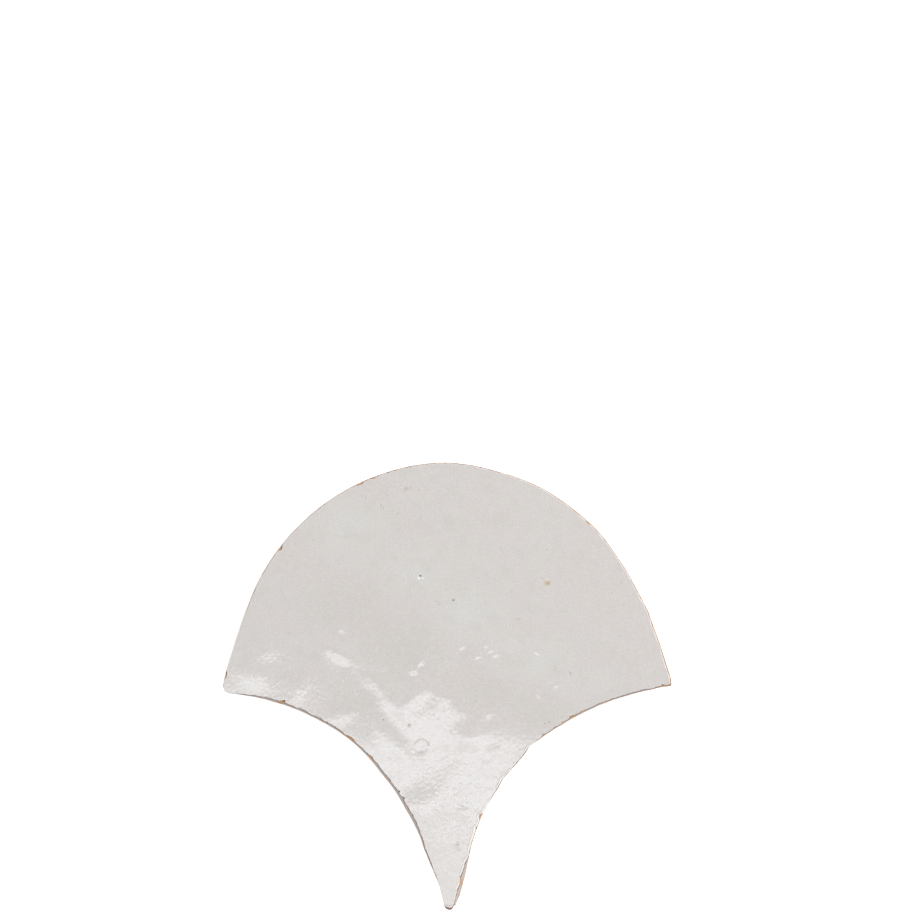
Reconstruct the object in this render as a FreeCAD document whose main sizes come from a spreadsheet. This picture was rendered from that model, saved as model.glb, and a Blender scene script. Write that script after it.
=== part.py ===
import FreeCAD, Part
import math
import os

import Sketcher

# Fish scale tile: one hand-cut piece of glazed terracotta, lying on its back with the glazed face up.
# +Z is up out of the glaze, +Y points to the round head and -Y to the tail.
# The origin is the centre of the head arc, on the back face. Lengths are in millimetres.
#
# Seen from above, the outline is a head arc, a straight flank down to each ear, a hollow arc (nest)
# on each side that takes the head of the next tile, and a tail that runs out between two neighbours.
# The outline is widest at the rim, just under the face. From there the cut edge leans in to the back,
# and the glaze is nipped off up to the face, so back and face are both the rim's outline moved inwards.

SIZES = {
    "head_radius": 58.0,  # round head, at the rim
    "ear_flare": 4.5,  # how far each ear stands out past the head arc
    "ear_drop": 4.0,  # ears lie this far below the centre of the head arc
    "ear_radius": 0.8,  # the cut ears and the tail are blunt
    "tail_radius": 1.3,
    "ear_gap": 6.0,  # room between the ears of two tiles in a row, where a tail ends
    "joint": 3.0,  # grout joint between a nest and the head that it takes
    "thickness": 12.0,
    "undercut": 2.0,  # how far the cut edge leans in from the rim to the back
    "arris": 0.4,  # glaze nipped off along the rim, in width and in depth
}

NODE = "fish_scale_tile"
RIGHT, LEFT = 1, -1
START, END, CENTRE = 1, 2, 3  # points of a sketched edge
ORIGIN = (-1, 1)  # the sketch's own origin


def make_sheet(doc):
    """The sheet that holds the driving dimensions, one named cell each."""
    sheet = doc.addObject("Spreadsheet::Sheet", "Sizes")
    for row, (name, value) in enumerate(SIZES.items(), start=1):
        sheet.set(f"A{row}", name)
        sheet.set(f"B{row}", str(value))
        sheet.setAlias(f"B{row}", name)
    doc.recompute()
    return sheet


def outline_points(sheet, inset):
    """Where the outline's centres and tangent angles lie once every cut edge is moved in by inset."""
    head = sheet.head_radius
    ear_x = head + sheet.ear_flare - sheet.ear_radius
    ear_y = -sheet.ear_drop
    nest_x = head + sheet.ear_flare + sheet.ear_gap / 2
    nest_reach = head + sheet.joint + sheet.ear_radius
    nest_y = ear_y - math.sqrt(nest_reach**2 - (nest_x - ear_x) ** 2)
    flank = math.acos((head - sheet.ear_radius) / math.hypot(ear_x, ear_y)) + math.atan2(ear_y, ear_x)

    # The inset ear slides along its flank until it touches the inset nest.
    across = FreeCAD.Vector(math.cos(flank), math.sin(flank), 0)
    along = FreeCAD.Vector(math.sin(flank), -math.cos(flank), 0)
    nest = FreeCAD.Vector(nest_x, nest_y, 0)
    start = across * (head - inset - sheet.ear_radius) - nest
    reach = start.dot(along)
    run = -reach - math.sqrt(reach**2 - start.dot(start) + (nest_reach + inset) ** 2)
    ear = nest + start + along * run

    tail_reach = head + sheet.joint + inset + sheet.tail_radius
    tail_y = nest_y + (tail_reach - nest_x * math.cos(flank)) / math.sin(flank)
    return {"flank": flank, "ear": ear, "nest": nest, "tail": FreeCAD.Vector(0, tail_y, 0)}


def draw_outline(sketch, sheet, inset):
    """Draws the closed outline counter-clockwise and returns the number of each edge by its name."""
    at = outline_points(sheet, inset)
    flank = at["flank"]
    head_radius = sheet.head_radius - inset
    nest_radius = sheet.head_radius + sheet.joint + inset

    def arc(centre, radius, start, end):
        circle = Part.Circle(centre, FreeCAD.Vector(0, 0, 1), radius)
        return Part.ArcOfCircle(circle, start, end)

    def on(centre, radius, angle):
        return centre + FreeCAD.Vector(math.cos(angle), math.sin(angle), 0) * radius

    def mirrored(point):
        return FreeCAD.Vector(-point.x, point.y, 0)

    middle = FreeCAD.Vector(0, 0, 0)
    to_nest = math.atan2(at["nest"].y - at["ear"].y, at["nest"].x - at["ear"].x)
    head_end = on(middle, head_radius, flank)
    ear_end = on(at["ear"], sheet.ear_radius, flank)
    nest_end = on(at["nest"], nest_radius, math.pi - flank)
    tail_end = on(at["tail"], sheet.tail_radius, -flank)

    edges = {
        "head": arc(middle, head_radius, flank, math.pi - flank),
        "flank_left": Part.LineSegment(mirrored(head_end), mirrored(ear_end)),
        "ear_left": arc(mirrored(at["ear"]), sheet.ear_radius, math.pi - flank, math.pi - to_nest),
        "nest_left": arc(mirrored(at["nest"]), nest_radius, flank, -to_nest),
        "tail_left": Part.LineSegment(mirrored(nest_end), mirrored(tail_end)),
        "tail": arc(at["tail"], sheet.tail_radius, math.pi + flank, -flank),
        "tail_right": Part.LineSegment(tail_end, nest_end),
        "nest_right": arc(at["nest"], nest_radius, math.pi + to_nest, math.pi - flank),
        "ear_right": arc(at["ear"], sheet.ear_radius, to_nest, flank),
        "flank_right": Part.LineSegment(ear_end, head_end),
    }
    numbers = sketch.addGeometry(list(edges.values()), False)
    return dict(zip(edges, numbers))


def join_outline(sketch, edge):
    """Makes each edge run smoothly into the next, and the tail's sides follow the flanks that they face."""
    joins = [
        ("head", END, "flank_left", START),
        ("flank_left", END, "ear_left", START),
        ("ear_left", END, "nest_left", END),
        ("nest_left", START, "tail_left", START),
        ("tail_left", END, "tail", START),
        ("tail", END, "tail_right", START),
        ("tail_right", END, "nest_right", END),
        ("nest_right", START, "ear_right", START),
        ("ear_right", END, "flank_right", START),
        ("flank_right", END, "head", START),
    ]
    for first, first_end, second, second_end in joins:
        sketch.addConstraint(Sketcher.Constraint("Tangent", edge[first], first_end, edge[second], second_end))
    sketch.addConstraint(Sketcher.Constraint("Coincident", edge["head"], CENTRE, *ORIGIN))
    sketch.addConstraint(Sketcher.Constraint("Parallel", edge["tail_left"], edge["flank_right"]))
    sketch.addConstraint(Sketcher.Constraint("Parallel", edge["tail_right"], edge["flank_left"]))


def hold(sketch, name, constraint, size):
    """Adds a named constraint that follows the expression size, or only measures where size is None."""
    number = sketch.addConstraint(constraint)
    sketch.renameConstraint(number, name)
    if size is None:
        sketch.setDriving(number, False)
    else:
        sketch.setExpression(f"Constraints.{name}", size)


def size_outline(sketch, edge, inset, rim):
    """Ties the outline to the sheet: the rim by its own sizes, the others by the rim moved in by a cell."""
    moved = "0 mm" if rim is None else f"Sizes.{inset} * 1 mm"

    def radius(name, size):
        value = sketch.Geometry[edge[name]].Radius
        hold(sketch, f"{name}_radius", Sketcher.Constraint("Radius", edge[name], value), size)

    def offset(name, axis, size):
        centre = sketch.getPoint(edge[name], CENTRE)
        value = centre.x if axis == "X" else centre.y
        constraint = Sketcher.Constraint(f"Distance{axis}", *ORIGIN, edge[name], CENTRE, value)
        hold(sketch, f"{name}_{axis.lower()}", constraint, size)

    def lean(name, size):
        line = sketch.Geometry[edge[name]]
        run = line.EndPoint - line.StartPoint
        hold(sketch, f"{name}_lean", Sketcher.Constraint("Angle", edge[name], math.atan2(run.y, run.x)), size)

    def as_rim(name):
        return f"{rim.Name}.Constraints.{name}"

    radius("head", f"Sizes.head_radius * 1 mm - {moved}")
    radius("tail", "Sizes.tail_radius * 1 mm")
    for side, sign in (("right", RIGHT), ("left", LEFT)):
        ear, nest, flank = f"ear_{side}", f"nest_{side}", f"flank_{side}"
        radius(ear, "Sizes.ear_radius * 1 mm")
        radius(nest, f"(Sizes.head_radius + Sizes.joint) * 1 mm + {moved}")
        offset(nest, "X", f"{sign} * (Sizes.head_radius + Sizes.ear_flare + Sizes.ear_gap / 2) * 1 mm")
        if rim is None:
            offset(ear, "X", f"{sign} * (Sizes.head_radius + Sizes.ear_flare - Sizes.ear_radius) * 1 mm")
            offset(ear, "Y", "-Sizes.ear_drop * 1 mm")
            offset(nest, "Y", None)
            lean(flank, None)
        else:
            offset(nest, "Y", as_rim(f"{nest}_y"))
            lean(flank, as_rim(f"{flank}_lean"))


def make_outline(body, sheet, name, height, inset=None, rim=None):
    """One level outline at that height: the rim itself, or the rim moved in by the cell named inset."""
    sketch = body.newObject("Sketcher::SketchObject", name)
    plane = next(item for item in body.Origin.OriginFeatures if item.Role == "XY_Plane")
    sketch.AttachmentSupport = (plane, [""])
    sketch.MapMode = "FlatFace"
    sketch.setExpression("AttachmentOffset.Base.z", height)
    edge = draw_outline(sketch, sheet, 0.0 if inset is None else sheet.get(inset))
    join_outline(sketch, edge)
    size_outline(sketch, edge, inset, rim)
    body.Document.recompute()
    return sketch


def make_tile(doc, sheet):
    """The tile: lofted from the smaller back out to the rim, then in again to the glazed face."""
    body = doc.addObject("PartDesign::Body", "Tile")
    body.Label = NODE
    rim = make_outline(body, sheet, "rim_outline", "(Sizes.thickness - Sizes.arris) * 1 mm")
    back = make_outline(body, sheet, "back_outline", "0 mm", "undercut", rim)
    face = make_outline(body, sheet, "face_outline", "Sizes.thickness * 1 mm", "arris", rim)

    tile = body.newObject("PartDesign::AdditiveLoft", "cut_tile")
    tile.Profile = back
    tile.Sections = [rim, face]
    tile.Ruled = True
    body.Tip = tile
    doc.recompute()
    return body


def check(doc, bodies):
    """Stops if any object failed, a sketch is loose, or a piece is not one sound solid."""
    failed = [item.Label for item in doc.Objects if {"Invalid", "Error"} & set(item.State)]
    if failed:
        raise RuntimeError(f"these objects failed: {failed}")
    for sketch in doc.findObjects("Sketcher::SketchObject"):
        if sketch.solve() or not sketch.FullyConstrained:
            raise RuntimeError(f"{sketch.Label} is not fully constrained")
    for body in bodies:
        shape = body.Shape
        if shape.isNull() or not shape.isValid() or len(shape.Solids) != 1:
            raise RuntimeError(f"{body.Label} is not one valid solid")


def main():
    doc = FreeCAD.newDocument("fish_scale_tile")
    sheet = make_sheet(doc)
    bodies = [make_tile(doc, sheet)]
    check(doc, bodies)
    os.makedirs("parts", exist_ok=True)
    for body in bodies:
        body.Shape.exportStep(f"parts/{body.Label}.step")
        box = body.Shape.optimalBoundingBox()
        print(body.Label, f"{box.XLength:.2f} x {box.YLength:.2f} x {box.ZLength:.2f} mm")


main()
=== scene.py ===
import math

import bpy
import numpy as np
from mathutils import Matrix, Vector, geometry, kdtree, noise


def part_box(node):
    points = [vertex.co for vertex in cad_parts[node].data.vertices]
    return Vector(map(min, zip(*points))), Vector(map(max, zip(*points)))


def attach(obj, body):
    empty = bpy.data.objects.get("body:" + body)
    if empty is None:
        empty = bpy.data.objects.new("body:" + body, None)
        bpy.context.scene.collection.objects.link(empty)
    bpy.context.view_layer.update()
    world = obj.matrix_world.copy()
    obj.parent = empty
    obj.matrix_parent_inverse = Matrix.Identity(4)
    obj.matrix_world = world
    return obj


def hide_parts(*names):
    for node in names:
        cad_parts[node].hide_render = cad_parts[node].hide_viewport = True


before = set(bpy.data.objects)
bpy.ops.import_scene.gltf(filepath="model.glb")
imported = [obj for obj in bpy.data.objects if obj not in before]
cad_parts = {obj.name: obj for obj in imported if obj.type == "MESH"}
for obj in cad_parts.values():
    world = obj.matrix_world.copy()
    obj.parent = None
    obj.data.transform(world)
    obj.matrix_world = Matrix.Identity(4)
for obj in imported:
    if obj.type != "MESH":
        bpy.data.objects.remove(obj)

bl_info = {
    "name": "Fish scale tile",
    "version": (1, 0, 0),
    "blender": (4, 5, 0),
    "location": "View3D > Sidebar > Tile",
    "description": "A hand-cut fish scale tile of white-glazed terracotta, and the studio that shows it",
    "category": "Object",
}

# x runs to the right of the glazed face, y to the round head and z up out of the glaze, in metres.
# The lists of hand work below are in millimetres, in the same frame.
MM = 0.001
NODE = "fish_scale_tile"
SLOT = "glazed_terracotta"
# The mesh keeps these for the material: depth below the glaze in millimetres, and how clean the clay is.
DEPTH, CLEAN = "depth_below_glaze", "clean_clay"
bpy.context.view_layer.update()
TILE_LOW, TILE_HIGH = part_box(NODE)

IMAGE_WIDTH = 924  # in pixels
PIXEL = 0.2772 * MM  # on the glazed face
SENSOR_WIDTH = 36.0  # in millimetres, as the camera takes it
SEED_STEP = 17.3  # how far apart the seeds lie in the noise
BRUSH_LEAN = math.radians(42)  # the glaze was brushed on up to the right
SHARP_BEND = math.radians(42)  # edges that bend more than this stay sharp
FINE_STEP = 0.30 * MM  # mesh spacing on the face beside the cut edge
FINE_BAND = 2.5 * MM  # how far that mesh reaches into the face
MARK_STEP = 0.18 * MM  # mesh spacing on pits, the blister and narrow swells
MARK_REACH = 1.7  # that mesh reaches this many radii out
NARROW_SWELL = 1.0  # half width in millimetres below which a swell is narrow
PARTLY_CLEAN = 0.5  # clay of the ears, the tip and the back
FRECKLE_STEP = 3.4  # millimetres between the freckles in the glaze, and between the pimples below them

# How the hand cut departs from the even outline: share of the way along the stretch, how far the cut stands
# out, how wide the broken glaze shows and how wide the broken clay below it shows.
# The head runs from left to right, the other stretches from head to tail.
HAND_CUT = {
    "head": [
        (0.00, -0.05, 0.10, 0.10), (0.06, -0.20, 0.10, 0.10), (0.12, -0.35, 0.10, 0.12),
        (0.20, -0.50, 0.10, 0.10), (0.30, -0.40, 0.08, 0.12), (0.40, -0.25, 0.10, 0.16),
        (0.46, -0.02, 0.10, 0.12), (0.52, -0.02, 0.12, 0.14), (0.58, -0.50, 0.14, 0.18),
        (0.62, -0.70, 0.12, 0.14), (0.70, -0.55, 0.14, 0.14), (0.77, -0.75, 0.16, 0.20),
        (0.83, -0.55, 0.18, 0.22), (0.90, -0.80, 0.18, 0.16), (0.96, -0.45, 0.20, 0.18),
        (1.00, 0.00, 0.20, 0.18),
    ],
    "right_flank": [(0.12, 0.45, 0.20, 0.24), (0.50, 0.55, 0.22, 0.24), (0.85, 0.35, 0.20, 0.28)],
    "right_nest": [
        (0.02, 0.05, 0.10, 0.40), (0.08, 0.45, 0.10, 0.36), (0.17, 0.65, 0.10, 0.40),
        (0.28, 0.60, 0.10, 0.46), (0.37, 0.60, 0.08, 0.46), (0.46, 0.25, 0.08, 0.40),
        (0.54, -0.30, 0.20, 0.14), (0.585, -0.80, 0.30, 0.04), (0.625, -0.15, 0.25, 0.20),
        (0.67, 0.00, 0.25, 0.20), (0.75, -0.50, 0.40, 0.08), (0.79, -0.15, 0.40, 0.20),
        (0.875, -0.55, 0.50, 0.08), (1.00, -0.60, 0.50, 0.10),
    ],
    "right_tail": [
        (0.15, -0.50, 0.42, 0.10), (0.30, -0.20, 0.36, 0.40), (0.50, 0.40, 0.32, 0.85),
        (0.75, 0.70, 0.30, 1.05), (0.92, 0.40, 0.25, 0.80), (0.98, 0.05, 0.15, 0.30),
    ],
    "left_tail": [
        (0.15, 0.00, 0.06, 0.42), (0.30, -0.15, 0.06, 0.34), (0.45, -0.30, 0.06, 0.24),
        (0.60, -0.50, 0.10, 0.12), (0.70, -0.62, 0.14, 0.04), (0.78, -0.70, 0.16, 0.03),
        (0.97, -0.10, 0.14, 0.03),
    ],
    "left_nest": [
        (0.00, -0.20, 0.14, 0.03), (0.03, 0.40, 0.16, 0.06), (0.10, 0.55, 0.10, 0.28),
        (0.20, 0.60, 0.05, 0.75), (0.30, 0.50, 0.05, 0.66), (0.40, 0.45, 0.05, 0.48),
        (0.50, 0.15, 0.05, 0.48), (0.60, 0.25, 0.05, 0.58), (0.70, 0.65, 0.05, 0.68),
        (0.80, 0.50, 0.08, 0.70), (0.875, 0.55, 0.06, 0.85), (0.95, 0.15, 0.05, 0.60),
        (1.00, -0.05, 0.05, 0.55),
    ],
    "left_ear": [(0.50, -0.55, 0.14, 0.04)],
    "left_flank": [
        (0.12, 0.20, 0.14, 0.04), (0.40, 0.25, 0.16, 0.03), (0.80, 0.15, 0.16, 0.04),
        (0.97, -0.25, 0.14, 0.06),
    ],
}

# How much of the broken edge is clean clay along each stretch. The rest gets painted shade next to the
# glaze and a grey-beige band further out, partly dusty clay and partly a painted shadow band.
CLEAN_CLAY = {
    "head": 0.7, "right_flank": 1.0, "right_nest": 0.25, "right_tail": 0.25, "left_tail": 0.2,
    "left_nest": 0.1, "left_flank": 0.4,
}

# Chips knocked off the edge of the glaze: place, length along the edge, reach into the face, depth, and how
# fresh the clay in them is.
CHIPS = [
    (-46.3, -7.3, 1.9, 0.60, 0.8, 1.0), (-34.0, -13.4, 1.4, 0.22, 0.4, 0.3),
    (-27.2, -18.2, 3.6, 0.38, 0.8, 0.9), (-21.6, -23.2, 2.2, 0.30, 0.7, 0.6),
    (-13.6, -33.0, 1.1, 0.45, 0.4, 0.1), (-12.9, -34.9, 1.3, 0.40, 0.4, 0.1),
    (-10.2, -39.5, 2.6, 0.15, 0.5, 0.1), (35.1, -12.5, 2.2, 0.42, 0.7, 0.9),
    (32.6, -14.2, 1.3, 0.25, 0.5, 0.8), (30.2, -15.6, 0.9, 0.20, 0.4, 0.5),
    (26.9, -17.5, 1.4, 0.30, 0.5, 0.6), (9.3, -40.3, 1.8, 0.70, 0.9, 1.0),
    (8.0, -43.6, 1.2, 0.22, 0.5, 0.9), (2.6, -59.9, 1.5, 0.20, 0.5, 0.9),
    (60.9, -4.4, 1.4, 0.35, 0.6, 0.9), (-60.4, -0.6, 2.3, 0.42, 0.7, 1.0),
    (-23.0, 51.9, 2.4, 0.45, 0.7, 1.0), (-19.5, 53.6, 2.0, 0.25, 0.6, 1.0),
    (-45.6, 34.9, 1.8, 0.55, 0.7, 1.0), (40.1, 41.1, 2.2, 0.30, 0.5, 1.0),
]

# Unevenness of the cut edge, the sides and the back: size of its lumps, seed and height.
CUT_WAVER = [(3.5, 1, 0.06), (1.1, 2, 0.03)]
SIDE_LUMPS = [(7.0, 13, 0.35), (2.6, 14, 0.14), (0.9, 15, 0.07)]
BACK_PITS = [(6.0, 16, 0.25), (2.2, 17, 0.20)]

# Rings of the mesh down the cut edge: shares of the broken glaze, shares out and down of the broken clay
# below it, and shares of the side.
GLAZE_RINGS = (0.0, 0.5, 1.0)
CLAY_RINGS = ((0.30, 0.42), (0.65, 0.75), (1.0, 1.0))
SIDE_RINGS = (0.03, 0.08, 0.15, 0.24, 0.34, 0.45, 0.56, 0.67, 0.78, 0.88, 0.96, 1.0)

# Brush marks in the glaze: size of their lumps, seed, how far they are drawn out, and height.
BRUSH_MARKS = [(9.0, 7, 1.8, 0.014), (3.2, 8, 2.2, 0.006), (1.5, 9, 2.0, 0.002)]

# Swells of the glaze, from slow ones to short narrow strokes: place, half length, half width, lean of the
# length in degrees, and height.
SWELLS = [
    (-52.6, -0.4, 3.2, 2.3, -8, 0.110), (-50.0, 6.4, 4.0, 2.2, 35, 0.120),
    (-40.0, -3.0, 4.5, 1.6, 62, 0.100), (-28.8, 12.2, 0.9, 0.8, 0, 0.070),
    (-30.2, 6.2, 3.0, 1.8, -30, 0.140), (-20.0, 2.7, 4.6, 1.8, -12, 0.092),
    (-19.4, -2.6, 3.4, 1.6, -34, 0.075), (-8.8, 0.7, 1.1, 0.99, 0, 0.096),
    (-7.8, 2.5, 0.9, 0.9, 20, 0.112), (-6.7, 3.6, 0.9, 0.9, 20, 0.112), (-5.5, 4.6, 0.8, 0.7, 20, 0.080),
    (-8.0, -7.0, 8.0, 8.0, 0, 0.180), (-14.4, -9.0, 3.8, 1.9, -50, 0.090),
    (-6.5, -4.9, 5.4, 1.5, 40, 0.116), (0.6, -6.5, 3.0, 1.9, -15, 0.125),
    (3.4, -10.8, 3.0, 1.8, -10, 0.055), (-1.0, -9.5, 4.0, 4.0, 0, 0.060),
    (11.0, -16.5, 9.0, 4.5, -4, 0.120), (5.2, -18.9, 2.6, 2.2, -12, 0.085),
    (12.0, -11.2, 1.8, 1.0, 38, 0.078), (12.5, -22.5, 1.6, 1.0, 10, 0.042),
    (11.0, -24.4, 1.4, 0.9, -5, 0.035), (-28.5, -11.0, 3.4, 1.8, 20, 0.078),
    (-22.0, -21.5, 7.0, 5.0, -42, 0.170), (-15.7, -18.7, 5.2, 2.0, -53, 0.088),
    (1.5, -28.6, 4.0, 1.8, 50, 0.050), (-9.0, -38.0, 5.5, 3.3, 25, 0.195),
    (-6.3, -40.6, 1.6, 1.0, 10, 0.055), (4.0, -39.4, 1.4, 1.2, 30, 0.060),
    (-1.8, -48.3, 2.4, 1.5, 25, 0.045), (0.5, -57.8, 2.6, 1.6, -20, 0.030),
    (-0.5, -22.6, 2.2, 1.4, 25, 0.045), (12.3, 8.8, 0.9, 0.50, 25, 0.060),
    (11.1, 7.2, 1.0, 0.50, 28, 0.060), (12.8, 6.0, 0.9, 0.50, 20, 0.056),
    (9.6, 5.6, 0.8, 0.45, 30, 0.050), (8.8, 4.2, 0.8, 0.45, 28, 0.048), (13.8, 4.6, 0.8, 0.45, 20, 0.046),
    (4.6, 6.9, 0.9, 0.45, 25, 0.050), (25.2, 5.2, 0.9, 0.50, -25, 0.038),
    (29.0, -2.8, 0.9, 0.50, 30, 0.031), (30.5, -4.0, 0.9, 0.50, 25, 0.029),
    (25.4, -6.6, 0.9, 0.50, -30, 0.027),
]

# Round pits in the glaze: place, radius, and height of the middle and of the rim.
MARKS = [
    (-6.9, 26.5, 0.55, -0.16, 0.020), (-10.3, -14.8, 0.55, -0.12, 0.020),
    (-17.6, -13.1, 0.35, -0.06, 0.004), (2.6, -48.4, 0.90, -0.06, 0.012), (3.2, -49.6, 0.50, -0.04, 0),
    (20.7, 14.2, 1.10, -0.02, 0.008), (-3.0, -40.5, 1.20, -0.03, 0.004),
]

# A flat blister in the glaze: place, radius, height, and how soft its edge is at the top and at the bottom.
BLISTER = (-7.2, -20.6, 1.95, 0.036, 0.04, 0.07)

# Specks, smudges and hairlines in the glaze, with some painted shade and a painted highlight: place, half
# length, half width, lean of the length in degrees, colour and strength.
SPECKS_AND_PAINTED_LIGHT = [
    (28.35, 24.25, 1.35, 1.25, 0, "honey", 0.60), (28.55, 24.15, 0.60, 0.50, 40, "rust", 0.60),
    (28.40, 25.20, 0.40, 0.35, 0, "chalk_and_highlight", 0.60), (27.00, 25.50, 0.75, 0.16, -48, "rust", 0.45),
    (2.20, 19.80, 0.60, 0.50, 0, "honey", 0.40), (2.20, 19.80, 0.34, 0.32, 0, "iron_and_shade", 0.85),
    (-10.50, 50.80, 0.90, 0.70, 60, "rose", 0.35), (-9.20, 51.10, 0.55, 0.45, 0, "rose", 0.30),
    (-7.05, 50.40, 0.40, 0.35, 0, "rust", 0.50), (34.40, -0.80, 0.95, 0.42, -55, "copper", 0.45),
    (27.20, -14.70, 0.28, 0.28, 0, "iron_and_shade", 0.55), (28.40, -14.30, 0.28, 0.28, 0, "iron_and_shade", 0.55),
    # The two chalk specks below are a painted highlight: the bright ring round the pit at -6.9, 26.5.
    (-7.25, 26.00, 0.65, 0.50, 0, "chalk_and_highlight", 0.90), (-6.15, 25.95, 0.42, 0.38, 0, "chalk_and_highlight", 0.90),
    (-6.88, 26.65, 0.40, 0.36, 0, "iron_and_shade", 0.95), (-11.60, 26.70, 0.30, 0.28, 0, "chalk_and_highlight", 0.55),
    (-17.60, -13.10, 0.32, 0.30, 0, "iron_and_shade", 0.70), (-10.50, -14.70, 0.35, 0.35, 0, "rust", 0.55),
    (18.50, 22.00, 0.30, 0.30, 0, "rust", 0.50), (20.20, 14.30, 0.80, 0.60, 0, "iron_and_shade", 0.12),
    (-22.80, 49.00, 0.30, 0.30, 0, "iron_and_shade", 0.30), (49.00, 24.00, 0.28, 0.25, 0, "iron_and_shade", 0.30),
    (-17.60, 46.30, 0.95, 0.13, -66, "iron_and_shade", 0.50), (-16.90, 45.65, 0.40, 0.13, 45, "iron_and_shade", 0.50),
    (-18.00, 46.30, 0.85, 0.13, -66, "chalk_and_highlight", 0.45), (-2.05, 19.45, 0.95, 0.13, -32, "iron_and_shade", 0.32),
    (-1.80, 18.70, 0.75, 0.13, 25, "iron_and_shade", 0.28), (0.20, 22.90, 0.34, 0.28, 0, "iron_and_shade", 0.25),
    (0.40, 17.85, 0.28, 0.26, 0, "chalk_and_highlight", 0.50), (-21.70, 48.40, 0.30, 0.26, 0, "iron_and_shade", 0.28),
    (-15.60, 49.05, 0.30, 0.26, 0, "iron_and_shade", 0.25), (-12.90, 44.05, 0.34, 0.28, 0, "iron_and_shade", 0.20),
    (30.20, 0.30, 0.32, 0.28, 0, "rose", 0.50), (35.60, 1.10, 0.28, 0.26, 0, "rose", 0.40),
    (2.50, -48.20, 0.55, 0.40, 30, "iron_and_shade", 0.22), (1.10, -17.00, 1.00, 0.24, 76, "iron_and_shade", 0.25),
    # Painted shade round the blister at -7.2, -20.6: a dark crescent below it and darker edges at its right
    # and lower left.
    (-7.20, -22.60, 2.60, 1.15, 8, "iron_and_shade", 0.15), (-7.40, -22.30, 2.00, 0.60, 6, "iron_and_shade", 0.10),
    (-5.60, -21.60, 0.90, 0.45, 52, "iron_and_shade", 0.14), (-5.05, -20.00, 1.10, 0.40, 88, "iron_and_shade", 0.22),
    (-9.20, -21.70, 0.70, 0.28, -20, "iron_and_shade", 0.16), (-6.70, -20.90, 0.60, 0.22, 15, "iron_and_shade", 0.18),
]

# Clouds of colour in the glaze: place, half width, half height, colour and strength. The last one, in the
# tail, is partly painted shade.
CLOUDS = [
    (8.0, 46.0, 24.0, 14.0, "pink", 0.7), (44.0, 20.0, 24.0, 28.0, "pink", 0.8),
    (-46.0, 12.0, 14.0, 16.0, "pink", 0.6), (-26.0, 40.0, 17.0, 14.0, "green", 0.9),
    (-8.0, 28.0, 16.0, 12.0, "green", 0.8), (6.0, 16.0, 16.0, 12.0, "green", 1.0),
    (22.0, 4.0, 17.0, 10.0, "green", 1.0), (40.0, -3.0, 16.0, 6.0, "green", 0.6),
    (-28.0, 18.0, 20.0, 12.0, "smoke_and_shade", 0.7), (-12.0, 6.0, 17.0, 14.0, "smoke_and_shade", 1.0),
    (10.0, -6.0, 20.0, 9.0, "smoke_and_shade", 0.8), (26.0, -12.0, 14.0, 8.0, "smoke_and_shade", 1.0),
    (-22.0, -8.0, 16.0, 10.0, "smoke_and_shade", 0.8), (0.0, -62.0, 7.0, 9.0, "pink", 0.6),
    # Partly greyer glaze and partly painted shade for the dimmer reflection of the window over the left of
    # the tail.
    (-5.0, -49.5, 4.5, 7.5, "smoke_and_shade", 0.7),
]

# Blotches of colour in the glaze: size, seed, fineness, where they begin and are full, strength and colour.
BLOTCHES = [
    (3.6, 3.0, 3.0, 0.45, 0.70, 0.55, "smoke_and_shade"), (4.4, 12.0, 3.0, 0.50, 0.75, 0.50, "pink"),
    (1.2, 14.0, 2.0, 0.45, 0.65, 0.35, "green"),
]

# Where the glaze's strokes and its peel are deepest: place, half width, half height and soft share.
EAR_STROKES = (-47.0, 2.0, 27.0, 20.0, 1.0)
TAIL_PEEL = (0.0, -54.0, 22.0, 30.0, 0.75)

# Brightness of the panes of the window that the glaze mirrors, from its edge over the tile outwards.
PANES = (0.30, 0.62, 0.91, 0.82, 0.40, 0.34, 0.48, 0.40, 0.55, 0.40, 0.57, 0.40, 0.57)


def length(name, description, default):
    """A property that holds a length."""
    return bpy.props.FloatProperty(
        name=name, description=description, default=default, precision=5, unit="LENGTH", subtype="DISTANCE"
    )


def amount(name, description, default):
    """A property that holds a plain number."""
    return bpy.props.FloatProperty(name=name, description=description, default=default, precision=4)


def colour(name, description, default):
    """A property that holds a colour."""
    return bpy.props.FloatVectorProperty(
        name=name, description=description, default=default, size=3, min=0, max=1, subtype="COLOR"
    )


class TileShape(bpy.types.PropertyGroup):
    """Sizes of the cut tile."""

    head_radius: length("Head radius", "Round head, at the rim", TILE_HIGH.y)
    ear_flare: length("Ear flare", "How far each ear stands out past the head", TILE_HIGH.x - TILE_HIGH.y)
    ear_drop: length("Ear drop", "How far the ears lie below the centre of the head", 4.0 * MM)
    ear_radius: length("Ear radius", "How blunt the ears are", 0.8 * MM)
    tail_radius: length("Tail radius", "How blunt the tail is", 1.3 * MM)
    ear_gap: length("Ear gap", "Room between the ears of two tiles in a row", 6.0 * MM)
    joint: length("Joint", "Grout joint between a nest and the head that it takes", 3.0 * MM)
    thickness: length("Thickness", "From the back to the glazed face", TILE_HIGH.z - TILE_LOW.z)
    undercut: length("Undercut", "How far the cut edge leans in under the glaze", 2.0 * MM)
    glaze: length("Glaze", "Thickness of the glaze over the clay", 0.30 * MM)
    face_margin: length("Face margin", "Room for the swells of the glaze below the top", 0.46 * MM)
    edge_step: length("Edge step", "Mesh spacing along the cut edge", 0.24 * MM)
    face_step: length("Face step", "Mesh spacing in the middle of the face", 0.55 * MM)
    back_step: length("Back step", "Mesh spacing on the back", 1.6 * MM)


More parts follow.
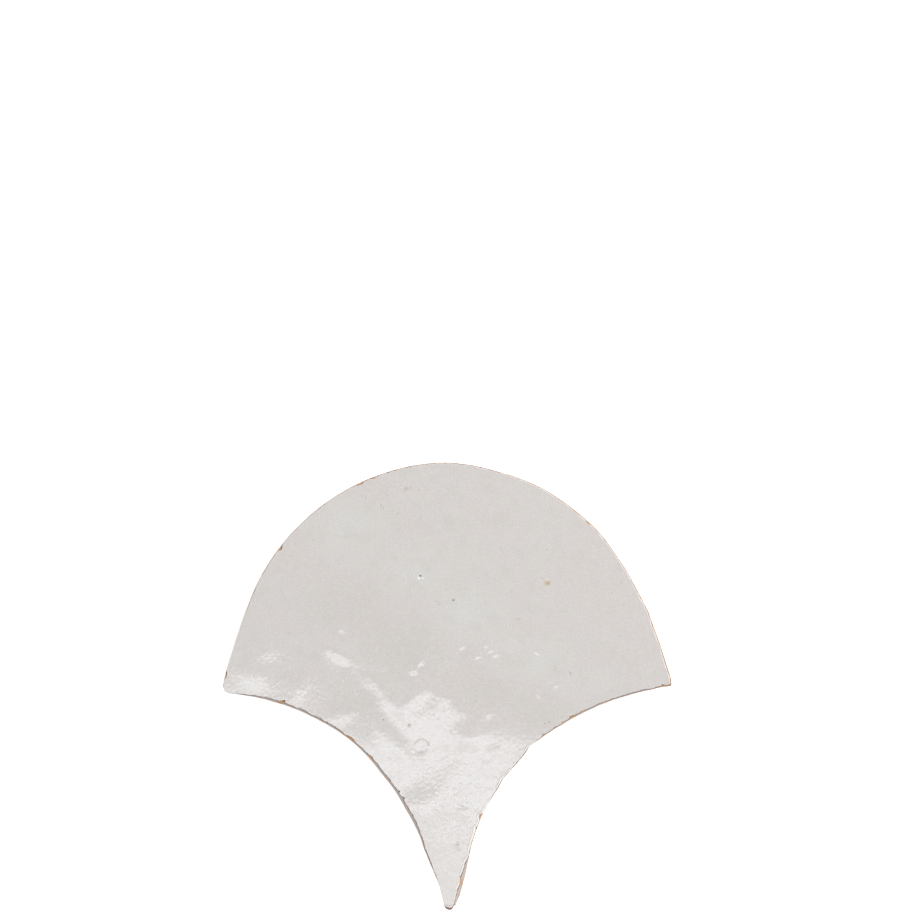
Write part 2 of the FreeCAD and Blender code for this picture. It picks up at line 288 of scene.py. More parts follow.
class TileFinish(bpy.types.PropertyGroup):
    """Colours and gloss of the glaze and the clay."""

    glaze: colour("Glaze", "Plain glaze", (0.660, 0.628, 0.603))
    green: colour("Green cloud", "Cooler clouds in the glaze", (0.672, 0.662, 0.632))
    pink: colour("Pink cloud", "Warmer clouds in the glaze", (0.660, 0.615, 0.592))
    # Smoke also darkens a cloud in the tail that is partly painted shade.
    smoke_and_shade: colour("Smoke cloud", "Darker clouds in the glaze", (0.620, 0.586, 0.558))
    cream: colour("Cream", "Broken edge of the glaze", (0.940, 0.890, 0.830))
    # Iron also paints the shade round the blister.
    iron_and_shade: colour("Iron", "Dark specks", (0.060, 0.050, 0.035))
    rust: colour("Rust", "Tan specks", (0.420, 0.300, 0.130))
    honey: colour("Honey", "Pale tan stains", (0.560, 0.450, 0.270))
    rose: colour("Rose", "Brownish smudges", (0.400, 0.270, 0.230))
    copper: colour("Copper", "Grey-green specks", (0.300, 0.370, 0.360))
    # Chalk also paints the highlight ring round a pit.
    chalk_and_highlight: colour("Chalk", "White specks", (0.900, 0.900, 0.880))
    clay: colour("Clay", "Fired clay", (0.500, 0.275, 0.155))
    # Partly dusty clay and partly a painted shadow band along the cut edge.
    dust_and_shadow_band: colour("Dust", "Dusty clay of an old break", (0.600, 0.535, 0.500))
    # Painted shade on the broken clay next to the glaze.
    painted_shade_clay: colour("Dull clay", "Clay just below the glaze in an old break", (0.215, 0.140, 0.145))
    clay_pale: colour("Pale clay", "Paler patches of the clay", (0.680, 0.435, 0.270))
    # Dark clay is also the painted shade on the clay right under the glaze.
    clay_dark_and_shade: colour("Dark clay", "Darker patches of the clay", (0.200, 0.100, 0.075))
    gloss: amount("Glaze roughness", "Roughness of the glazed face", 0.070)
    broken_roughness: amount("Broken roughness", "How much rougher the glaze is where it broke", 0.35)
    clay_roughness: amount("Clay roughness", "Roughness of the bare clay", 0.88)


class StageSetup(bpy.types.PropertyGroup):
    """The camera, the lights and the floor."""

    view_x: length("View x", "What the camera stands over", 5.1 * MM)
    view_y: length("View y", "What the camera stands over", 59.6 * MM)
    view_turn: bpy.props.FloatProperty(
        name="View turn", description="How far the tile is turned in the picture",
        default=math.radians(0.68), unit="ROTATION", subtype="ANGLE",
    )
    view_width: length("View width", "Width of the picture at the glazed face", IMAGE_WIDTH * PIXEL)
    view_height: length("View height", "Camera above the glazed face", 1.2)
    sky: amount("Sky", "Even light from all round", 0.675)
    window: amount("Window", "Radiance of the window that the glaze mirrors", 5.0)
    key: amount("Key", "Radiance of the lamp from the upper right", 9.5)
    floor: colour("Floor", "Pale floor", (0.88, 0.88, 0.88))
    floor_lift: amount("Floor lift", "What the camera sees on top of the lit floor", 0.60)


def outline_stretches(shape, inset):
    """The right half of the outline from the head down to the tail, with every cut edge moved in by inset.

    An arc is its centre, radius, first angle and last angle. A line is two points.
    """
    blunt_ear, blunt_tail = shape.ear_radius, shape.tail_radius
    head, nest_radius = shape.head_radius - inset, shape.head_radius + shape.joint + inset
    ear_x, ear_y = shape.head_radius + shape.ear_flare - blunt_ear, -shape.ear_drop
    nest_x = shape.head_radius + shape.ear_flare + shape.ear_gap / 2
    nest_y = ear_y - math.sqrt((shape.head_radius + shape.joint + blunt_ear) ** 2 - (nest_x - ear_x) ** 2)
    lean = math.acos((shape.head_radius - blunt_ear) / math.hypot(ear_x, ear_y)) + math.atan2(ear_y, ear_x)
    middle, nest = Vector((0, 0)), Vector((nest_x, nest_y))

    # The ear slides along its flank until it touches the nest.
    across, along = Vector((math.cos(lean), math.sin(lean))), Vector((math.sin(lean), -math.cos(lean)))
    away = across * (head - blunt_ear) - nest
    reach = away.dot(along)
    slide = reach + math.sqrt(reach**2 - away.dot(away) + (nest_radius + blunt_ear) ** 2)
    ear = nest + away - along * slide
    to_nest = math.atan2(nest.y - ear.y, nest.x - ear.x)
    tail = Vector((0, nest_y + (nest_radius + blunt_tail - nest_x * math.cos(lean)) / math.sin(lean)))

    def on(centre, radius, turn):
        return centre + Vector((math.cos(turn), math.sin(turn))) * radius

    nest_end = math.pi - lean
    return {
        "head": (middle, head, math.pi / 2, lean),
        "flank": (on(middle, head, lean), on(ear, blunt_ear, lean)),
        "ear": (ear, blunt_ear, lean, to_nest),
        "nest": (nest, nest_radius, math.pi + to_nest, nest_end),
        "tail": (on(nest, nest_radius, nest_end), on(tail, blunt_tail, -lean)),
        "tip": (tail, blunt_tail, -lean, -math.pi / 2),
    }


def even_outline(shape, inset=0.0):
    """The even outline moved in by inset, clockwise from the top of the head.

    Gives points, and the stretch and share of each. Insets have as many points as the rim, in its order.
    """
    fewest = 5

    def size(stretch):
        if len(stretch) == 2:
            return (stretch[1] - stretch[0]).length
        return stretch[1] * abs(stretch[3] - stretch[2])

    counts = {name: max(fewest, round(size(stretch) / shape.edge_step))
              for name, stretch in outline_stretches(shape, 0.0).items()}
    stretches = outline_stretches(shape, inset)
    points, shares, names = [], [], []
    for name, stretch in stretches.items():
        for number in range(counts[name]):
            share = number / counts[name]
            if len(stretch) == 2:
                points.append(stretch[0].lerp(stretch[1], share))
            else:
                centre, radius, first, last = stretch
                turn = first + (last - first) * share
                points.append(centre + Vector((math.cos(turn), math.sin(turn))) * radius)
            shares.append(0.5 + share / 2 if name == "head" else share)
            names.append(name if name == "head" else f"right_{name}")
    tail, blunt, *_ = stretches["tip"]

    # The left half mirrors the right half and runs back up to the head.
    back = slice(None, 0, -1)
    right = np.array(points)
    left_shares = [1 - share if name == "head" else share for name, share in zip(names, shares)]
    left_names = [name.replace("right", "left") for name in names]
    points = np.concatenate((right, [[0, tail.y - blunt]], right[back] * (-1, 1)))
    return points, names + ["tip"] + left_names[back], shares + [1.0] + left_shares[back]


def ring_lengths(points):
    """How far along the closed outline each point lies, and the length of it all."""
    steps = np.hypot(*(np.roll(points, -1, axis=0) - points).T)
    return np.concatenate(([0], np.cumsum(steps)[:-1])), steps.sum()


def grain(points, size, seed, stretch=1.0, lean=0.0):
    """Smooth noise from about -1 to 1 at the points, with lumps of that size, drawn out along lean."""
    along = np.array((math.cos(lean), math.sin(lean)))
    across = np.array((-along[1], along[0]))
    flat = points[:, :2]
    height = points[:, 2] if points.shape[1] == 3 else np.zeros(len(points))
    places = np.column_stack((flat @ along / stretch, flat @ across, height)) / size + seed * SEED_STEP
    return np.array([noise.noise(Vector(place)) for place in places])


def layered_grain(points, layers):
    """The sum of layers of grain in metres, each given by its lumps' size, seed and height."""
    return sum(grain(points, size * MM, seed) * height * MM for size, seed, height in layers)


def hand_cut(points, stretches, shares):
    """How far out the cut lies at each station, and how wide its broken glaze and clay are, in metres."""
    least_glaze, least_clay, thin_clay = 0.02 * MM, 0.04 * MM, 0.12 * MM
    way, total = ring_lengths(points)
    knots = []
    for stretch, cuts in HAND_CUT.items():
        stations = [number for number, name in enumerate(stretches) if name == stretch]
        for share, *cut in cuts:
            nearest = min(stations, key=lambda number: abs(shares[number] - share))
            knots.append((way[nearest], *cut))
    places, *cuts = np.array(sorted(knots)).T
    out, glaze, clay = (np.interp(way, places, cut, period=total) * MM for cut in cuts)
    out += layered_grain(points, CUT_WAVER)
    glaze *= 1 + 0.7 * grain(points, 1.7 * MM, 22)
    clay *= 1 + 0.6 * grain(points, 2.4 * MM, 3)

    # The clay's edge is ragged, but even where hardly any clay shows.
    ragged = np.minimum(1, (clay / thin_clay) ** 2)
    teeth = np.abs(grain(points, 1.0 * MM, 4)) * 0.28 + grain(points, 0.5 * MM, 20) * 0.05
    clay += ragged * teeth * MM
    return out, np.maximum(glaze, least_glaze), np.maximum(clay, least_clay)


def chip_edge(rim, clay, stretches):
    """Chips the broken clay: how far it reaches in and how deep it goes, in metres, and how clean it is."""
    least_depth, steepness, blunt = 0.38 * MM, 0.9, 0.6
    reach, depth = clay.copy(), least_depth + steepness * clay
    clean = np.array([CLEAN_CLAY.get(name, PARTLY_CLEAN) for name in stretches])
    clean = np.clip(clean + 0.8 * grain(rim, 2.0 * MM, 21), 0, 1)
    ragged = 1 + 0.25 * grain(rim, 0.7 * MM, 5)
    way, total = ring_lengths(rim)
    for x, y, run, bite, drop, fresh in CHIPS:
        nearest = np.argmin(np.hypot(*(rim - np.array((x, y)) * MM).T))
        along = np.abs((way - way[nearest] + total / 2) % total - total / 2) / (run * MM / 2)
        share = np.clip(1 - along**2, 0, 1) ** blunt
        reach = np.maximum(reach, share * (clay + bite * MM) * ragged)
        depth = np.maximum(depth, share * drop * MM)
        clean = np.where(share > 0, clean + (fresh - clean) * np.clip(share * 2, 0, 1), clean)
    return reach, depth, clean


def glaze_height(points):
    """How high the glaze stands above its even face at the points, in metres."""
    places = points / MM
    height = grain(points, 30 * MM, 6) * 0.06
    for size, seed, drawn_out, rise in BRUSH_MARKS:
        height += grain(points, size * MM, seed, drawn_out, BRUSH_LEAN) * rise
    for x, y, half_length, half_width, lean, rise in SWELLS:
        along = np.array((math.cos(math.radians(lean)), math.sin(math.radians(lean))))
        across = np.array((-along[1], along[0]))
        away = places - (x, y)
        far = np.hypot(away @ along / half_length, away @ across / half_width)
        height += rise * np.exp(-0.5 * far**2)

    pit_steepness, rim_width = 2.5, 0.25
    uneven = 1 + 0.35 * grain(points, 1.8 * MM, 18)
    for x, y, radius, middle, rim in MARKS:
        far = np.hypot(places[:, 0] - x, places[:, 1] - y) / radius * uneven
        height += middle * np.exp(-pit_steepness * far**2) + rim * np.exp(-((far - 1) / rim_width) ** 2)

    # The blister's edge is sharper towards the head than towards the tail.
    x, y, radius, rise, soft_top, soft_bottom = BLISTER
    away = (places - (x, y)) / radius
    far = np.hypot(*away.T)
    low = 0.5 - 0.5 * away[:, 1] / np.maximum(far, 0.01)
    soft = soft_top + (soft_bottom - soft_top) * low**2
    far *= 0.6 + 0.4 * uneven
    height += rise * (0.5 - 0.5 * np.tanh((far - 1) / (2 * soft)))
    return height * MM


def near_mark(points):
    """Which of the points lie on a pit, the blister or a narrow swell, or just beside it."""
    narrow = [(x, y, half_length) for x, y, half_length, half_width, *_ in SWELLS
              if half_width < NARROW_SWELL]
    places = points / MM
    near = np.zeros(len(points), bool)
    for x, y, radius, *_ in (*MARKS, BLISTER, *narrow):
        near |= np.hypot(places[:, 0] - x, places[:, 1] - y) < MARK_REACH * radius
    return near


def edge_distance(edge, points):
    """How far inside the clockwise outline each point lies. Points outside are negative."""
    tree = kdtree.KDTree(len(edge))
    for number, (x, y) in enumerate(edge):
        tree.insert((x, y, 0), number)
    tree.balance()
    along = np.roll(edge, -1, axis=0) - np.roll(edge, 1, axis=0)
    inward = np.column_stack((along[:, 1], -along[:, 0]))
    found = [tree.find((x, y, 0)) for x, y in points]
    number = np.array([hit[1] for hit in found])
    distance = np.array([hit[2] for hit in found])
    side = np.einsum("ij,ij->i", points - edge[number], inward[number])
    return np.where(side > 0, distance, -distance)


def scatter(edge, step, inside, keep=None):
    """Points on a slightly uneven triangular net inside the outline, at least inside from its edge.

    Of the net's points, only those that keep picks are taken.
    """
    shift, shift_size = 0.15 * step, 0.7 * step
    low, high = edge.min(axis=0), edge.max(axis=0)
    rows = np.arange(low[1], high[1], step * math.sqrt(0.75))
    columns = np.arange(low[0], high[0], step)
    x, y = np.meshgrid(columns, rows)
    x[1::2] += step / 2
    net = np.column_stack((x.ravel(), y.ravel()))
    if keep:
        net = net[keep(net)]
    net += shift * np.column_stack((grain(net, shift_size, 10), grain(net, shift_size, 11)))
    return net[edge_distance(edge, net) > inside]


def face_net(shape, edge):
    """Points inside the edge of the glazed face, closest along the edge and on the marks."""
    fine = scatter(edge, FINE_STEP, 0.6 * FINE_STEP)
    fine = fine[edge_distance(edge, fine) < FINE_BAND]
    plain = np.concatenate((fine, scatter(edge, shape.face_step, FINE_BAND)))
    marks = scatter(edge, MARK_STEP, MARK_STEP, near_mark)
    return np.concatenate((plain[~near_mark(plain)], marks))


def fill(edge, inner):
    """Triangles that fill the outline, as numbers into the edge's points followed by the inner ones."""
    points = [Vector(point) for point in np.concatenate((edge, inner))]
    count = len(edge)
    border = [(number, (number + 1) % count) for number in range(count)]
    inside_only, tolerance = 1, 1e-9
    _, _, triangles, sources, _, _ = geometry.delaunay_2d_cdt(points, border, [], inside_only, tolerance)
    return [tuple(sources[corner][0] for corner in triangle) for triangle in triangles]


def side_relief(flat, height):
    """How far the chiselled side stands out at the points, in metres: lumps and hollow scallops."""
    # A squeezed height draws both out from top to bottom.
    lump_squeeze, scallop_squeeze = 0.6, 0.25
    out = layered_grain(np.column_stack((flat, height * lump_squeeze)), SIDE_LUMPS)
    scallops = np.abs(grain(np.column_stack((flat, height * scallop_squeeze)), 3.6 * MM, 23))
    return out - (0.05 + 0.45 * scallops) * MM


def cut_rings(shape):
    """The cut edge as rings of points from the glazed face down to the back.

    Gives the rings, their depths below the glaze and how clean the clay is at each station.
    """
    small_step, least_break, side_fade = 0.5 * MM, 0.05 * MM, 0.2
    even, stretches, shares = even_outline(shape)
    inward = (even_outline(shape, small_step)[0] - even) / small_step
    lean_in = even_outline(shape, shape.undercut)[0] - even
    way_out = -inward / np.hypot(*inward.T)[:, None]
    out, glaze, clay = hand_cut(even, stretches, shares)
    rim = even - inward * out[:, None]
    reach, depth, clean = chip_edge(rim, clay, stretches)
    clay_line = rim + inward * reach[:, None]
    glaze_line = clay_line + inward * glaze[:, None]
    face = shape.thickness - shape.face_margin + glaze_height(glaze_line)

    # The glaze breaks off first, then the clay slopes out to the rim.
    rings, depths = [], []
    for share in GLAZE_RINGS:
        flat = glaze_line + (clay_line - glaze_line) * share
        rings.append(np.column_stack((flat, face - shape.glaze * share)))
        depths.append(np.full(len(face), shape.glaze * share))
    below = np.maximum(depth - shape.glaze, least_break)
    for run, fall in CLAY_RINGS:
        flat = clay_line + (rim - clay_line) * run
        drop = shape.glaze + below * fall
        rough = grain(np.column_stack((flat, face - drop)), 0.6 * MM, 12) * 0.40 * MM * fall * (1 - fall)
        rings.append(np.column_stack((flat, face - drop + rough)))
        depths.append(drop - rough)

    side_top = rings[-1][:, 2]
    for share in SIDE_RINGS:
        height = side_top * (1 - share)
        flat = rim + lean_in * share
        relief = side_relief(flat, height) * min(1.0, share / side_fade)
        rings.append(np.column_stack((flat + way_out * relief[:, None], height)))
        depths.append(face - height)
    return rings, depths, clean


def skin_faces(ring_size, ring_count, face_triangles, back_triangles, back_start):
    """The skin's faces, as numbers into the points of the rings, the glazed face and the back."""
    face_start = ring_size * ring_count
    back_ring = face_start - ring_size
    faces = []
    for triangle in face_triangles:
        faces.append(tuple(n if n < ring_size else n - ring_size + face_start for n in triangle))
    for triangle in back_triangles:
        corners = [n + back_ring if n < ring_size else n - ring_size + back_start for n in triangle]
        faces.append(tuple(reversed(corners)))
    for upper in range(0, back_ring, ring_size):
        lower = upper + ring_size
        for number in range(ring_size):
            after = (number + 1) % ring_size
            faces.append((upper + number, upper + after, lower + after, lower + number))
    return faces


def build_tile(shape):
    """The mesh of the tile as one skin: glazed face, nipped edge, undercut sides and plain back."""
    rings, depths, clean = cut_rings(shape)
    ring_points = np.concatenate(rings)
    face_edge, back_edge = rings[0][:, :2], rings[-1][:, :2]
    face_flat = face_net(shape, face_edge)
    back_flat = scatter(back_edge, shape.back_step, 0.5 * shape.back_step)
    face_level = shape.thickness - shape.face_margin + glaze_height(face_flat)
    back_level = np.maximum(0, layered_grain(back_flat, BACK_PITS))
    face_points = np.column_stack((face_flat, face_level))
    back_points = np.column_stack((back_flat, back_level))
    # The cut edge is trimmed where it would stand out past the solid's box.
    points = np.concatenate((ring_points, face_points, back_points))
    points = np.clip(points, np.array(TILE_LOW), np.array(TILE_HIGH))

    back_start = len(ring_points) + len(face_points)
    triangles = fill(face_edge, face_flat), fill(back_edge, back_flat)
    mesh = bpy.data.meshes.new(NODE)
    mesh.from_pydata(points.tolist(), [], skin_faces(len(face_edge), len(rings), *triangles, back_start))
    on_face = np.zeros(len(face_points))
    on_back = np.ones(len(back_points))
    depth = np.concatenate((*depths, on_face, on_back * shape.thickness)) / MM
    clean = np.concatenate((np.tile(clean, len(rings)), on_face, on_back * PARTLY_CLEAN))
    for name, values in ((DEPTH, depth), (CLEAN, clean)):
        mesh.attributes.new(name, "FLOAT", "POINT").data.foreach_set("value", values)
    mesh.shade_smooth()
    mesh.set_sharp_from_angle(angle=SHARP_BEND)
    if mesh.validate(verbose=True):
        raise RuntimeError("the tile's mesh has faces that don't hold")
    return mesh


class Socket:
    """A node's output. Sums, differences and products of values become Math nodes of the same tree."""

    def __init__(self, tree, output=None):
        self.tree = tree
        self.output = output

    def node(self, kind, settings=None, inputs=None, output=0):
        """Adds a node, its settings first and then its sockets' values or links, and gives one output."""
        added = self.tree.nodes.new(kind)
        for name, value in (settings or {}).items():
            setattr(added, name, value)
        for name, value in (inputs or {}).items():
            if isinstance(value, Socket):
                self.tree.links.new(value.output, added.inputs[name])
            else:
                added.inputs[name].default_value = value
        return Socket(self.tree, added.outputs[output] if added.outputs else None)

    def math(self, operation, *values):
        """A Math node on the values."""
        return self.node("ShaderNodeMath", {"operation": operation}, dict(enumerate(values)))

    def __add__(self, other):
        return self.math("ADD", self, other)

    def __radd__(self, other):
        return self.math("ADD", other, self)

    def __sub__(self, other):
        return self.math("SUBTRACT", self, other)

    def __rsub__(self, other):
        return self.math("SUBTRACT", other, self)

    def __mul__(self, other):
        return self.math("MULTIPLY", self, other)

    def __rmul__(self, other):
        return self.math("MULTIPLY", other, self)

    def ramp(self, start, end):
        """A smooth step from 0 at start to 1 at end."""
        inputs = {"Value": self, "From Min": start, "From Max": end}
        return self.node("ShaderNodeMapRange", {"interpolation_type": "SMOOTHSTEP"}, inputs, "Result")

    def mix(self, low, high):
        """The colour low where this value is 0 and high where it is 1."""
        low, high = (side if isinstance(side, Socket) else (*side, 1) for side in (low, high))
        return self.node("ShaderNodeMix", {"data_type": "RGBA"}, {0: self, 6: low, 7: high}, 2)


def new_material(name):
    """An empty material, and the start of its nodes."""
    material = bpy.data.materials.new(name)
    material.use_nodes = True
    material.node_tree.nodes.clear()
    return material, Socket(material.node_tree)


def vector_math(operation, first, second):
    """A Vector Math node on two vectors."""
    return first.node("ShaderNodeVectorMath", {"operation": operation}, {0: first, 1: second})


def scaled(vector, factor):
    """The vector or colour times a plain value."""
    return vector.node("ShaderNodeVectorMath", {"operation": "SCALE"}, {0: vector, "Scale": factor})


def turned_back(vector, lean):
    """The vector turned back about z by lean, so that its x runs along that lean."""
    inputs = {"Vector": vector, "Angle": -lean}
    return vector.node("ShaderNodeVectorRotate", {"rotation_type": "Z_AXIS"}, inputs)


def lumps(place, size, seed, detail=2.0):
    """Smooth noise from 0 to 1, with lumps of that size."""
    inputs = {"Vector": place, "W": seed, "Scale": 1 / size, "Detail": detail}
    return place.node("ShaderNodeTexNoise", {"noise_dimensions": "4D"}, inputs, "Fac")


def dots(place, size, middle, edge):
    """Round dots about size apart, 1 in the middle and 0 past the edge, both as shares of size."""
    inputs = {"Vector": place, "Scale": 1 / size}
    return 1 - place.node("ShaderNodeTexVoronoi", {}, inputs, "Distance").ramp(middle, edge)


def spot(flat, x, y, half_length, half_width, soft, lean=0.0):
    """1 inside an ellipse at x and y and 0 outside, soft over that share of it, leaning by lean degrees."""
    away = vector_math("SUBTRACT", flat, (x, y, 0))
    if lean:
        away = turned_back(away, math.radians(lean))
    away = vector_math("DIVIDE", away, (half_length, half_width, 1))
    far = flat.node("ShaderNodeVectorMath", {"operation": "LENGTH"}, {0: away}, "Value")
    return 1 - far.ramp(1 - soft, 1)


def glaze_colour(finish, place, flat):
    """Slow clouds, blotches and fine grain of the glaze, then its freckles and specks. One cloud in the
    tail is partly painted shade, and some specks are painted shade round the blister and a painted
    highlight round a pit.
    """
    white = lumps(place, 22, 2.0).ramp(0.35, 0.65).mix(finish.glaze, finish.pink)
    drift = lumps(place, 14, 1.0).ramp(0.2, 0.5)
    for x, y, half_width, half_height, name, strength in CLOUDS:
        cloud = spot(flat, x, y, half_width, half_height, 1.0) * strength * drift
        white = cloud.mix(white, getattr(finish, name))
    for size, seed, detail, begin, full, strength, name in BLOTCHES:
        blotch = lumps(place, size, seed, detail).ramp(begin, full) * strength
        white = blotch.mix(white, getattr(finish, name))
    fine_grain = 0.865 + lumps(place, 0.50, 11.0, 1.0) * 0.27
    white = scaled(white, fine_grain)
    freckle = dots(flat, FRECKLE_STEP, 0.03, 0.085) * lumps(place, 3.0, 4.0).ramp(0.48, 0.6)
    white = (freckle * 0.26).mix(white, finish.iron_and_shade)
    for x, y, half_length, half_width, lean, name, strength in SPECKS_AND_PAINTED_LIGHT:
        speck_and_painted_light = spot(flat, x, y, half_length, half_width, 0.7, lean) * strength
        white = speck_and_painted_light.mix(white, getattr(finish, name))
    return white


def clay_colour(finish, place, depth, pore):
    """Patches, grit and pores of the clay, paler towards the glaze and darkened with painted shade right
    under it. Old breaks get painted shade next to the glaze and a grey-beige band that is partly dust and
    partly a painted shadow band.
    """
    patches = lumps(place, 5.0, 5.0, 4.0).ramp(0.3, 0.7)
    stains = lumps(place, 1.6, 6.0, 4.0).ramp(0.5, 0.8)
    grit = dots(place, 0.9, 0.12, 0.30)
    near_glaze, painted_shade_under_glaze = 1 - depth.ramp(0.60, 1.50), 1 - depth.ramp(0.38, 0.56)
    clay = patches.mix(finish.clay, finish.clay_pale)
    clay = (stains * 0.45).mix(clay, finish.clay_dark_and_shade)
    clay = (grit * 0.5).mix(clay, finish.clay_pale)
    clay = (pore * 0.8).mix(clay, finish.clay_dark_and_shade)
    clay = (near_glaze * 0.6).mix(clay, finish.clay_pale)
    # Painted shade: the clay right under the glaze is darkened.
    clay = (painted_shade_under_glaze * 0.85).mix(clay, finish.clay_dark_and_shade)

    clean = place.node("ShaderNodeAttribute", {"attribute_name": CLEAN}, output="Fac")
    # Old breaks: painted shade next to the glaze, then a grey-beige band that is partly dust and partly a
    # painted shadow band.
    dust_and_shade = depth.ramp(0.40, 0.75).mix(finish.painted_shade_clay, finish.dust_and_shadow_band)
    old = (1 - clean) * (1 - depth.ramp(0.8, 2.0)) + (lumps(place, 0.9, 16.0, 3.0) - 0.5) * 0.6
    return old.ramp(0.10, 0.80).mix(clay, dust_and_shade)


def glaze_ripple(flat):
    """Fine relief of the glaze in millimetres: brush strokes, peel and pimples."""
    draw_out = (0.4, 1, 1)
    brushed = vector_math("MULTIPLY", turned_back(flat, BRUSH_LEAN), draw_out)
    strokes = lumps(brushed, 0.70, 8.0, 1.0) * (0.015 + spot(flat, *EAR_STROKES) * 0.013)
    peel = lumps(flat, 0.90, 13.0, 0.0) * (0.010 + spot(flat, *TAIL_PEEL) * 0.020)
    pimples = dots(flat, FRECKLE_STEP, 0.02, 0.10) * 0.012
    return strokes + peel + pimples


def glazed_terracotta(finish, shape):
    """Clouded, specked white gloss glaze, with fired clay wherever the glaze is broken away."""
    material, start = new_material(SLOT)
    place = scaled(start.node("ShaderNodeTexCoord", output="Object"), 1 / MM)
    flat = vector_math("MULTIPLY", place, (1, 1, 0))
    depth = start.node("ShaderNodeAttribute", {"attribute_name": DEPTH}, output="Fac")
    pore = dots(place, 2.3, 0.07, 0.14) * lumps(place, 4.0, 15.0).ramp(0.40, 0.55)

    glaze_depth, soft = shape.glaze / MM, 0.04
    ragged = depth * (0.75 + lumps(place, 0.6, 7.0) * 0.5)
    broken = ragged.ramp(0.01, 0.06)
    bare = ragged.ramp(glaze_depth - soft, glaze_depth + soft)
    glaze = broken.mix(glaze_colour(finish, place, flat), finish.cream)
    base = bare.mix(glaze, clay_colour(finish, place, depth, pore))
    from_broken_to_clay = finish.clay_roughness - finish.gloss - finish.broken_roughness
    roughness = finish.gloss + broken * finish.broken_roughness + bare * from_broken_to_clay

    tooth = lumps(place, 0.45, 9.0, 4.0) * 0.16 + lumps(place, 1.8, 10.0) * 0.12 - pore * 0.15
    height = glaze_ripple(flat) * (1 - broken) + tooth * bare
    bump = start.node("ShaderNodeBump", {}, {"Distance": MM, "Height": height}, "Normal")
    inputs = {"Base Color": base, "Roughness": roughness, "Normal": bump, "IOR": 1.55}
    shader = start.node("ShaderNodeBsdfPrincipled", {}, inputs, "BSDF")
    start.node("ShaderNodeOutputMaterial", {}, {"Surface": shader})
    return material


class FISHSCALE_OT_tile(bpy.types.Operator):
    """Cut the glazed tile by hand from its even outline"""

    bl_idname = "mesh.fish_scale_tile_add"
    bl_label = "Cut the tile"

    def execute(self, context):
        shape, finish = context.scene.tile_shape, context.scene.tile_finish
        tile = bpy.data.objects.new("glazed_tile", build_tile(shape))
        context.scene.collection.objects.link(tile)
        tile.data.materials.append(glazed_terracotta(finish, shape))
        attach(tile, "root")
        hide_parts(NODE)
        return {"FINISHED"}


def seen_directly(start):
    """1 for what the camera sees, also mirrored or through something, and 0 for the light on the tile."""
    seen = start.node("ShaderNodeLightPath", output="Is Camera Ray")
    for ray in ("Is Glossy Ray", "Is Transmission Ray"):
        seen = seen.math("MAXIMUM", seen, start.node("ShaderNodeLightPath", output=ray))
    return seen


def floor_material(stage):
    """A pale floor that takes the tile's shadow, lifted to white for the camera and for reflections."""
    material, start = new_material("pale_floor")
    lit = start.node("ShaderNodeBsdfDiffuse", {}, {"Color": (*stage.floor, 1)})
    lift = start.node("ShaderNodeEmission", {}, {"Strength": stage.floor_lift})
    lifted = start.node("ShaderNodeAddShader", {}, {0: lit, 1: lift})
    shown = start.node("ShaderNodeMixShader", {}, {0: seen_directly(start), 1: lit, 2: lifted})
    start.node("ShaderNodeOutputMaterial", {}, {"Surface": shown})
    return material


def add_floor(scene, stage):
    """A wide plane that the tile lies on, a hair below its back so that the two don't share a plane."""
    half, low = 2.0, -0.1 * MM
    mesh = bpy.data.meshes.new("floor")
    corners = [(-half, -half, low), (half, -half, low), (half, half, low), (-half, half, low)]
    mesh.from_pydata(corners, [], [(0, 1, 2, 3)])
    mesh.materials.append(floor_material(stage))
    floor = bpy.data.objects.new("floor", mesh)
    scene.collection.objects.link(floor)


def add_lamp(scene, name, place, target, size, radiance, tint, spin=0.0):
    """A rectangular soft lamp at place that faces target, spun about the way it faces."""
    lamp = bpy.data.lights.new(name, "AREA")
    lamp.color = tint
    lamp.shape = "RECTANGLE"
    lamp.size, lamp.size_y = size
    lamp.energy = radiance * math.pi * size[0] * size[1]
    holder = bpy.data.objects.new(name, lamp)
    holder.location = place
    holder.rotation_euler = (Vector(target) - Vector(place)).to_track_quat("-Z", "Y").to_euler()
    holder.rotation_euler.rotate_axis("Z", spin)
    scene.collection.objects.link(holder)


def add_key(scene, stage):
    """A soft lamp from the upper right, which throws the tile's shadow."""
    place, size, white = (0.75, 0.65, 0.80), (0.5, 0.5), (1, 1, 1)
    add_lamp(scene, "key", place, (0, 0, 0), size, stage.key, white)


def add_window(scene, stage):
    """A window over the tail that the glaze mirrors: a row of panes, dim at the near edge and far away."""
    spin, tint = math.radians(-10.6), (0.95, 1.0, 1.07)
    near, away = Vector((-0.025, -0.058, 0.712)), Vector((math.sin(spin), -math.cos(spin), 0))
    width, depth = 0.25, 0.010
    for number, share in enumerate(PANES):
        place = near + away * (number + 0.5) * depth
        below = place * Vector((1, 1, 0))
        add_lamp(scene, f"window_{number}", place, below, (width, depth), stage.window * share, tint, spin)


def light_sky(scene, stage):
    """Even light from all round, seen as plain white."""
    world = bpy.data.worlds.new("sky")
    world.use_nodes = True
    world.node_tree.nodes.clear()
    start = Socket(world.node_tree)
    white = (1, 1, 1, 1)
    light = start.node("ShaderNodeBackground", {}, {"Color": white, "Strength": stage.sky})
    backdrop = start.node("ShaderNodeBackground", {}, {"Color": white, "Strength": 1.0})
    shown = start.node("ShaderNodeMixShader", {}, {0: seen_directly(start), 1: light, 2: backdrop})
    start.node("ShaderNodeOutputWorld", {}, {"Surface": shown})
    scene.world = world


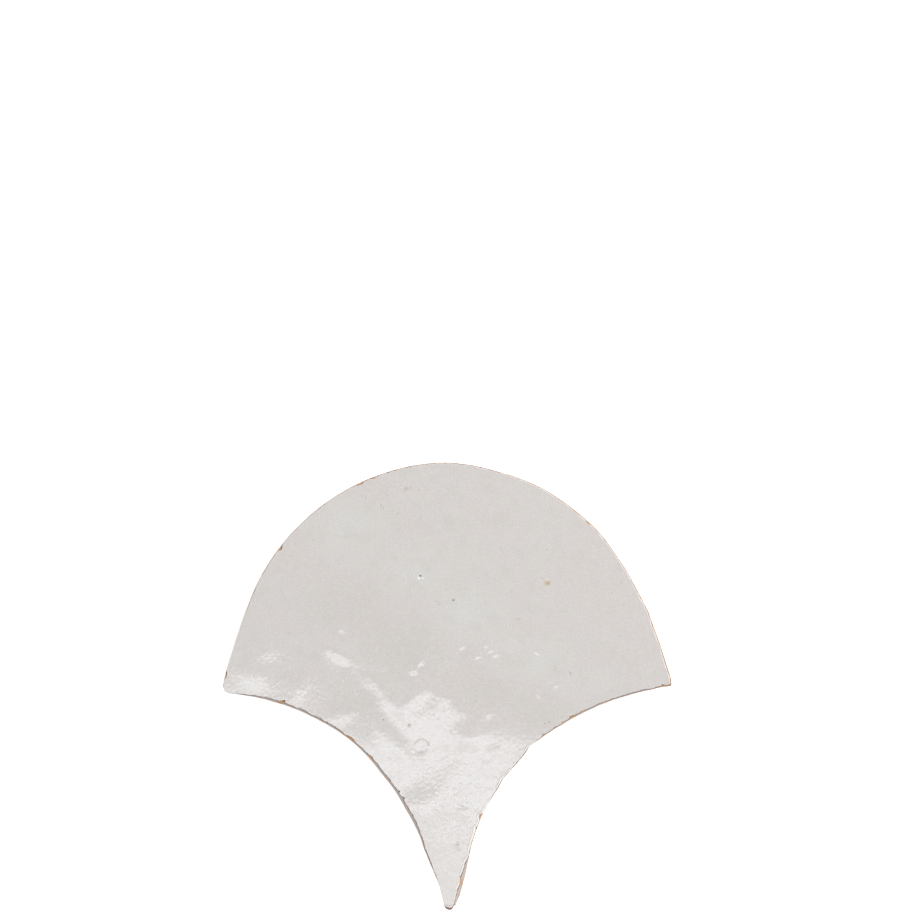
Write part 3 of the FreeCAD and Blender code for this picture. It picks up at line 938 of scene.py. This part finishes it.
def add_camera(scene, stage, face):
    """The camera straight above the tile, turned as the picture is."""
    camera = bpy.data.cameras.new("camera")
    camera.sensor_width = SENSOR_WIDTH
    camera.lens = SENSOR_WIDTH * stage.view_height / stage.view_width
    camera.clip_end = 10
    holder = bpy.data.objects.new("camera", camera)
    holder.location = (stage.view_x, stage.view_y, face + stage.view_height)
    holder.rotation_euler = (0, 0, -stage.view_turn)
    scene.collection.objects.link(holder)
    scene.camera = holder


class FISHSCALE_OT_stage(bpy.types.Operator):
    """Set the tile on a pale floor under soft lamps and a camera that looks straight down"""

    bl_idname = "scene.fish_scale_stage_add"
    bl_label = "Set the stage"

    def execute(self, context):
        scene, stage = context.scene, context.scene.tile_stage
        add_floor(scene, stage)
        light_sky(scene, stage)
        add_window(scene, stage)
        add_key(scene, stage)
        add_camera(scene, stage, scene.tile_shape.thickness)
        scene.view_settings.view_transform = "Standard"
        return {"FINISHED"}


class FISHSCALE_PT_tile(bpy.types.Panel):
    """The tile's sizes, finish and stage"""

    bl_label = "Fish scale tile"
    bl_space_type = "VIEW_3D"
    bl_region_type = "UI"
    bl_category = "Tile"

    def draw(self, context):
        groups = (
            (context.scene.tile_shape, FISHSCALE_OT_tile),
            (context.scene.tile_finish, None),
            (context.scene.tile_stage, FISHSCALE_OT_stage),
        )
        for group, operator in groups:
            box = self.layout.box()
            for name in group.__annotations__:
                box.prop(group, name)
            if operator:
                box.operator(operator.bl_idname)


CLASSES = (TileShape, TileFinish, StageSetup, FISHSCALE_OT_tile, FISHSCALE_OT_stage, FISHSCALE_PT_tile)
GROUPS = {"tile_shape": TileShape, "tile_finish": TileFinish, "tile_stage": StageSetup}


def register():
    for item in CLASSES:
        bpy.utils.register_class(item)
    for name, group in GROUPS.items():
        setattr(bpy.types.Scene, name, bpy.props.PointerProperty(type=group))


def unregister():
    for name in GROUPS:
        delattr(bpy.types.Scene, name)
    for item in reversed(CLASSES):
        bpy.utils.unregister_class(item)


def main():
    register()
    bpy.ops.mesh.fish_scale_tile_add()
    bpy.ops.scene.fish_scale_stage_add()


if __name__ == "__main__":
    main()
